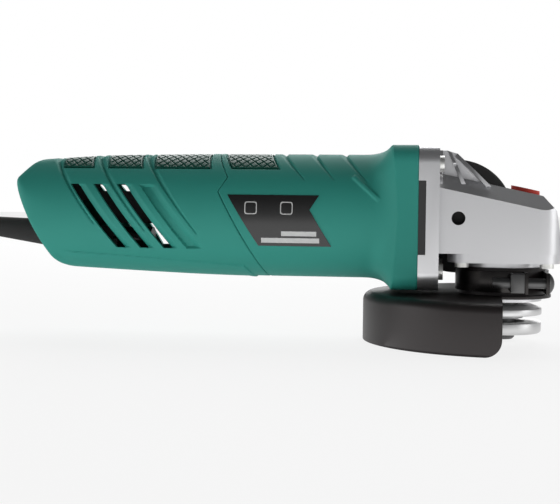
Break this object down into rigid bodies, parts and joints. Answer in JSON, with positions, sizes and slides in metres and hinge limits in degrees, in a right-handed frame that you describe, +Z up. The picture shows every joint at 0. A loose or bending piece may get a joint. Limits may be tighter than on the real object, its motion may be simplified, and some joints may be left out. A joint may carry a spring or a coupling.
{
  "type": "angle grinder",
  "caption": "Corded angle grinder with a green motor housing, cast gear head, swivelling black guard, side handle, flanges, spindle lock and its working parts inside.",
  "frame": {"origin": "spindle axis at the disc seat, the lower face of the inner flange", "axes": "+X towards the nose of the gear head, +Y to the user's left, where the side handle is fitted, +Z up along the spindle, away from the disc"},
  "size_m": [0.5121, 0.2159, 0.0978],
  "materials": {
    "green_plastic": "satin moulded",
    "black_plastic": "satin moulded",
    "red_plastic": "satin moulded",
    "cast_aluminium": "die cast, fine grain",
    "plated_steel": "bright zinc",
    "polished_steel": "ground and polished",
    "gear_steel": "case hardened",
    "lamination_steel": "stacked sheet",
    "black_steel": "gloss black paint",
    "dark_steel": "black oxide",
    "copper_wire": "varnished winding",
    "brass": "bare",
    "carbon": "pressed carbon",
    "black_rubber": "matt moulded",
    "felt": "pressed felt",
    "label_film": "smooth printed film, bare"
  },
  "bodies": {
    "root": {"baffle_ring": "black_plastic", "bearing_balls": "polished_steel", "bearing_plate": "cast_aluminium", "bearing_plate_screws": "plated_steel", "brush_holders": "brass", "brush_springs": "plated_steel", "carbon_brushes": "carbon", "cord_clamp": "black_plastic", "cord_clamp_screws": "plated_steel", "cord_coil": "black_rubber", "field_coils": "copper_wire", "front_bearing_outer_race": "polished_steel", "gear_housing": "cast_aluminium", "gear_housing_screws": "plated_steel", "label_plate": "label_film", "lock_spring": "plated_steel", "mains_cord": "black_rubber", "motor_housing": "green_plastic", "plug_body": "black_rubber", "plug_pins": "plated_steel", "rear_bearing_boot": "black_rubber", "rear_bearing_outer_race": "polished_steel", "speed_controller": "black_plastic", "spindle_bearing_outer_race": "polished_steel", "spindle_seal": "felt", "spindle_top_bush": "brass", "stator_core": "lamination_steel", "strain_relief_sleeve": "black_rubber", "suppression_capacitor": "label_film", "switch_body": "black_plastic", "tail_screws": "plated_steel", "tail_shell_left": "green_plastic", "tail_shell_right": "green_plastic", "terminal_block": "black_plastic"},
    "armature": {"armature_shaft": "polished_steel", "armature_core": "lamination_steel", "armature_winding": "copper_wire", "commutator": "brass", "fan": "black_plastic", "pinion": "gear_steel", "pinion_nut": "plated_steel", "front_bearing_inner_race": "polished_steel", "rear_bearing_inner_race": "polished_steel"},
    "spindle_group": {"spindle": "dark_steel", "spindle_circlip": "dark_steel", "crown_gear": "gear_steel", "spindle_bearing_inner_race": "polished_steel", "inner_flange": "polished_steel"},
    "outer_flange": {"flange_nut": "polished_steel"},
    "lock": {"lock_button": "red_plastic", "lock_pin": "plated_steel"},
    "guard_group": {"guard": "black_steel", "clamp_band": "black_steel", "clamp_bolt": "plated_steel", "clamp_nut": "plated_steel"},
    "switch": {"switch_slider": "black_plastic", "switch_link_rod": "plated_steel"},
    "dial": {"speed_dial": "red_plastic"},
    "side_handle": {"side_handle_stud": "plated_steel", "side_handle_grip": "black_plastic"}
  },
  "joints": [
    {"name": "spindle_spin", "type": "hinge", "parent": "root", "child": "spindle_group", "pos_m": [0, 0, 0], "axis": [0, 0, 1], "continuous": true},
    {"name": "armature_spin", "type": "hinge", "parent": "root", "child": "armature", "pos_m": [0, 0, 0.0483], "axis": [1, 0, 0], "continuous": true},
    {"name": "outer_flange_unscrew", "type": "slide", "parent": "spindle_group", "child": "outer_flange", "axis": [0, 0, -1], "range_m": [-0.0034, 0.0095]},
    {"name": "spindle_lock_press", "type": "slide", "parent": "root", "child": "lock", "axis": [0, 0, -1], "range_m": [0, 0.0045], "stiffness_N_per_m": 700, "springref_m": -0.001, "deforming": ["lock_spring"]},
    {"name": "guard_turn", "type": "hinge", "parent": "root", "child": "guard_group", "pos_m": [0, 0, 0], "axis": [0, 0, 1], "range_deg": [-60, 90]},
    {"name": "switch_slide", "type": "slide", "parent": "root", "child": "switch", "axis": [1, 0, 0], "range_m": [0, 0.007]},
    {"name": "speed_dial_turn", "type": "hinge", "parent": "root", "child": "dial", "pos_m": [-0.2345, 0, 0.0505], "axis": [0, 0, 1], "range_deg": [0, 270]},
    {"name": "side_handle_unscrew", "type": "slide", "parent": "root", "child": "side_handle", "axis": [0, 1, 0], "range_m": [0, 0.02]}
  ],
  "couplings": [
    {"joint": "armature_spin", "follows": "spindle_spin", "ratio": -3.0833}
  ]
}
